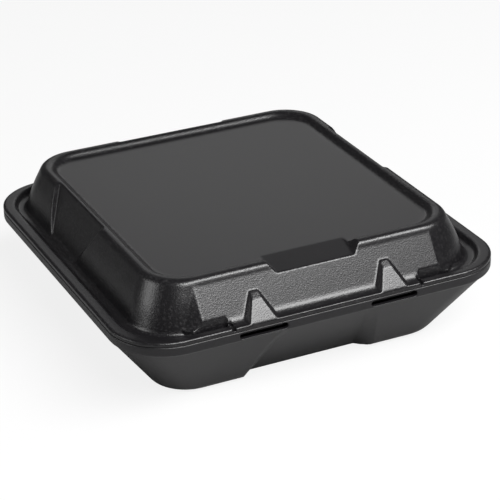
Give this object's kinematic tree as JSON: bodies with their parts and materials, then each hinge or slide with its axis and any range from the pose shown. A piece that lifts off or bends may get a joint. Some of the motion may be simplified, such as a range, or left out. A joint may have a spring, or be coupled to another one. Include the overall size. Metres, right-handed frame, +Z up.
{
  "type": "foam clamshell container",
  "caption": "Hinged black foam food container with a recessed lid panel, ribbed front wall and slotted front latch.",
  "frame": {"origin": "on the table, under the middle of the closed container", "axes": "+Z up, -Y towards the latch edge, +Y towards the hinge, +X to the right seen from the latch edge"},
  "size_m": [0.242, 0.2414, 0.076],
  "materials": {
    "black_foam": "satin",
    "pressed_foam": "satin"
  },
  "bodies": {
    "base_body": {"base": "black_foam", "hinge_strip": "pressed_foam"},
    "lid_body": {"lid": "black_foam"}
  },
  "joints": [
    {"name": "lid_hinge", "type": "hinge", "parent": "base_body", "child": "lid_body", "pos_m": [0, 0.1205, 0.0485], "axis": [-1, 0, 0], "range_deg": [0, 180], "deforming": ["hinge_strip"]}
  ]
}
